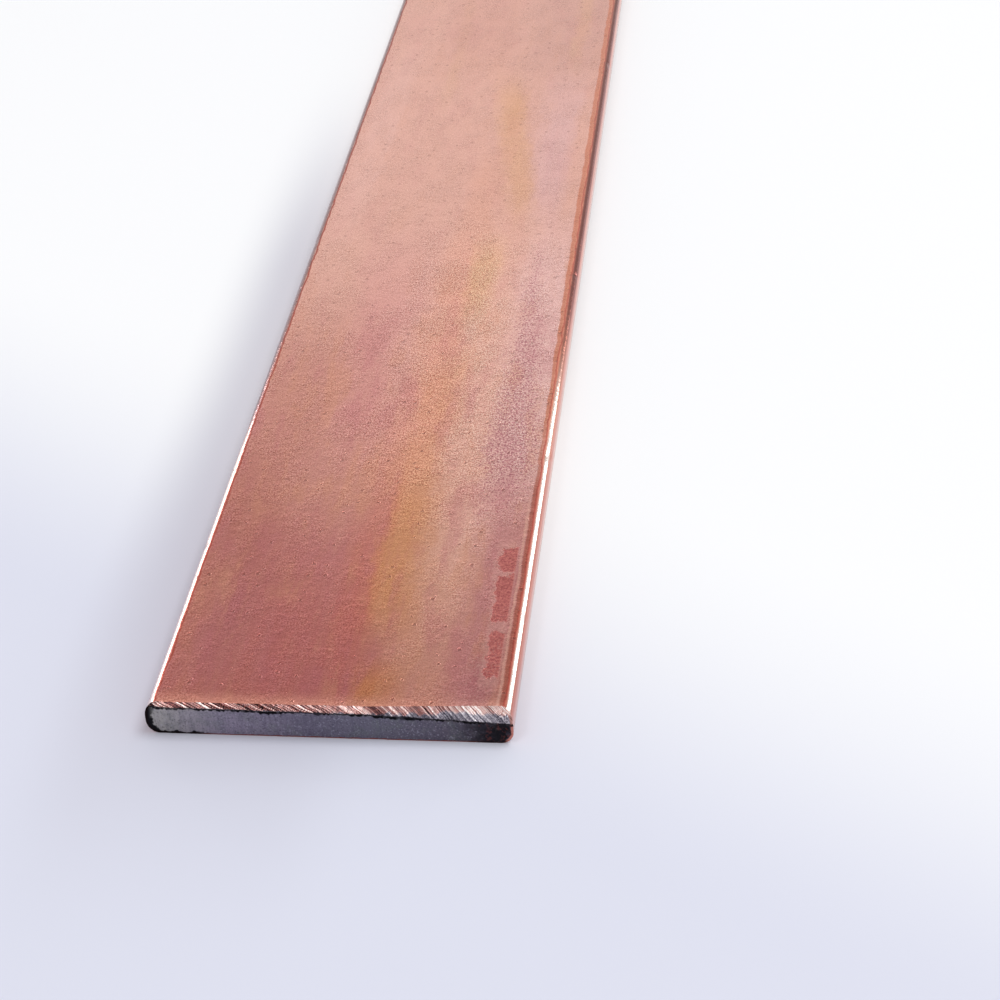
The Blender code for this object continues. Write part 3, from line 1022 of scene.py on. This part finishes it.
def pale_floor():
    """The floor's material, which glows white far off and a little behind the filed end where it is seen."""
    material = bpy.data.materials.new("pale_floor")
    nodes = Nodes(material)
    shader = nodes.tree.nodes["Principled BSDF"]
    shader.inputs["Roughness"].default_value = 0.6
    shader.inputs["Specular IOR Level"].default_value = 0.2
    x, y, _ = nodes.split(nodes.new("ShaderNodeTexCoord").outputs["Object"])
    near = NEAR_END * MM
    far_off = nodes.ease(nodes.flat_length(x, y), 0.45, 0.90)
    away = nodes.ease(nodes.scaled(x, 0.6, y), near, near + 0.085)
    away = nodes.math("MAXIMUM", away, far_off)
    pale = nodes.paint(COOL_FLOOR, WHITE_FLOOR, away)
    shade = nodes.times(nodes.between(y, near, near + 0.18, 0.050), nodes.between(x, -0.036, 0.0, 0.007))
    pale = nodes.paint(pale, BROAD_SHADE, shade, 0.8)
    beside = nodes.between(x, -0.040, 0.0, 0.012)
    pale = nodes.paint(pale, CORNER_SHADE, beside, nodes.between(y, near - 0.012, near + 0.050, 0.030), 0.25)
    nodes.feed(shader.inputs["Base Color"], pale)

    rays = nodes.new("ShaderNodeLightPath").outputs
    seen = nodes.math("MAXIMUM", rays["Is Camera Ray"], rays["Is Glossy Ray"])
    seen = nodes.math("MAXIMUM", seen, rays["Is Transmission Ray"])
    lit = nodes.times(nodes.scaled(shade, -0.75, 1.0), nodes.times(away, 0.4))
    lit = nodes.math("MAXIMUM", lit, far_off)
    blend = nodes.new("ShaderNodeMixShader")
    nodes.feed(blend.inputs[0], nodes.times(seen, lit))
    nodes.feed(blend.inputs[1], shader.outputs[0])
    nodes.feed(blend.inputs[2], nodes.new("ShaderNodeEmission").outputs[0])
    nodes.feed(nodes.tree.nodes["Material Output"].inputs["Surface"], blend.outputs[0])
    return material


def make_floor():
    """A large level floor that the bar rests on."""
    mesh = bpy.data.meshes.new("floor")
    reach = FLOOR_REACH
    corners = [(-reach, -reach, 0.0), (reach, -reach, 0.0), (reach, reach, 0.0), (-reach, reach, 0.0)]
    mesh.from_pydata(corners, [], [(0, 1, 2, 3)])
    mesh.materials.append(pale_floor())
    floor = add_object("floor", mesh)
    floor.location.z = BAR_LOW.z - FLOOR_GAP


# The studio's level of light by the sine of the height above the floor, on each side of the bar
LIGHT_BEHIND = (
    (0.02, 1.00), (0.10, 0.56), (0.30, 0.76), (0.42, 1.46), (0.53, 0.90), (0.62, 0.41), (0.78, 0.47),
    (0.95, 0.70),
)
LIGHT_AT_SIDES = (
    (0.02, 1.00), (0.08, 1.20), (0.20, 1.00), (0.35, 0.80), (0.50, 0.60), (0.64, 0.40), (0.80, 0.40),
    (0.95, 0.70),
)
LIGHT_IN_FRONT = (
    (0.02, 1.00), (0.08, 0.40), (0.30, 0.45), (0.55, 0.60), (0.72, 0.80), (0.95, 0.70),
)


def make_world():
    """A soft studio: a bright band part of the way up behind the bar, bright low walls at its sides, and an
    even light in front."""
    world = bpy.data.worlds.new("studio")
    bpy.context.scene.world = world
    nodes = Nodes(world)
    x, y, z = nodes.split(nodes.new("ShaderNodeTexCoord").outputs["Generated"])
    flat = nodes.math("MAXIMUM", nodes.flat_length(x, y), 0.001)
    sideways = nodes.math("DIVIDE", nodes.math("ABSOLUTE", x), flat)
    behind = nodes.levels(z, LIGHT_BEHIND)
    light = nodes.mix(nodes.ease(sideways, 0.46, 0.64), behind, nodes.levels(z, LIGHT_AT_SIDES))
    light = nodes.mix(nodes.ease(y, 0.1, -0.5), light, nodes.levels(z, LIGHT_IN_FRONT))
    nodes.feed(nodes.tree.nodes["Background"].inputs["Color"], light)


# Lamps: bearing from straight behind the bar and elevation in degrees, distance, size and power
SOFTBOXES = {
    "left_softbox": (-41.0, 6.5, 1.2, (0.26, 0.20), 1.1),
    "right_softbox": (38.5, 9.0, 1.2, (0.22, 0.26), 1.0),
    "shoulder_softbox": (-150.0, 52.0, 1.3, (0.25, 0.25), 1.15),
    "key_softbox": (70.0, 66.0, 1.3, (0.60, 0.60), 6.0),
}

# How far behind the filed end the lamps are aimed
LAMP_TARGET = 0.06


def make_softbox(name, bearing, elevation, distance, size, power):
    """An area lamp that is aimed at the bar's near part."""
    lamp = bpy.data.lights.new(name, "AREA")
    lamp.shape = "RECTANGLE"
    lamp.size, lamp.size_y = size
    lamp.energy = power
    holder = add_object(name, lamp)
    turn = math.radians(bearing)
    rise = math.radians(elevation)
    away = Vector((math.sin(turn) * math.cos(rise), math.cos(turn) * math.cos(rise), math.sin(rise)))
    holder.location = Vector((0.0, NEAR_END * MM + LAMP_TARGET, 0.0)) + away * distance
    holder.rotation_mode = "QUATERNION"
    holder.rotation_quaternion = away.to_track_quat("Z", "Y")


def make_camera():
    """The photograph's camera: looking down the bar's length, turned a little and rolled a little."""
    data = bpy.data.cameras.new("camera")
    data.sensor_width = SENSOR
    data.lens = FOCAL_PIXELS / IMAGE_PIXELS * SENSOR
    data.clip_start = 0.01
    camera = add_object("camera", data)
    forward = Vector((
        math.sin(VIEW_YAW) * math.cos(VIEW_PITCH),
        math.cos(VIEW_YAW) * math.cos(VIEW_PITCH),
        -math.sin(VIEW_PITCH),
    ))
    level = Vector((math.cos(VIEW_YAW), -math.sin(VIEW_YAW), 0.0))
    down = forward.cross(level)
    right = level * math.cos(VIEW_ROLL) + down * math.sin(VIEW_ROLL)
    up = level * math.sin(VIEW_ROLL) - down * math.cos(VIEW_ROLL)
    turn = Matrix((right, up, -forward)).transposed().to_4x4()
    place = Vector((VIEW_FROM[0], VIEW_FROM[1] + NEAR_END, VIEW_FROM[2])) * MM
    camera.matrix_world = Matrix.Translation(place) @ turn
    bpy.context.scene.camera = camera


skin = make_copper_skin([oxidised_copper(), filed_copper()])
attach(skin, "root")
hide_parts("copper_cladding")

core = make_core([cut_aluminium()])
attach(core, "root")
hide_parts("aluminium_core")

make_floor()
make_world()
for lamp_name, settings in SOFTBOXES.items():
    make_softbox(lamp_name, *settings)
make_camera()
bpy.context.scene.view_settings.view_transform = "Standard"
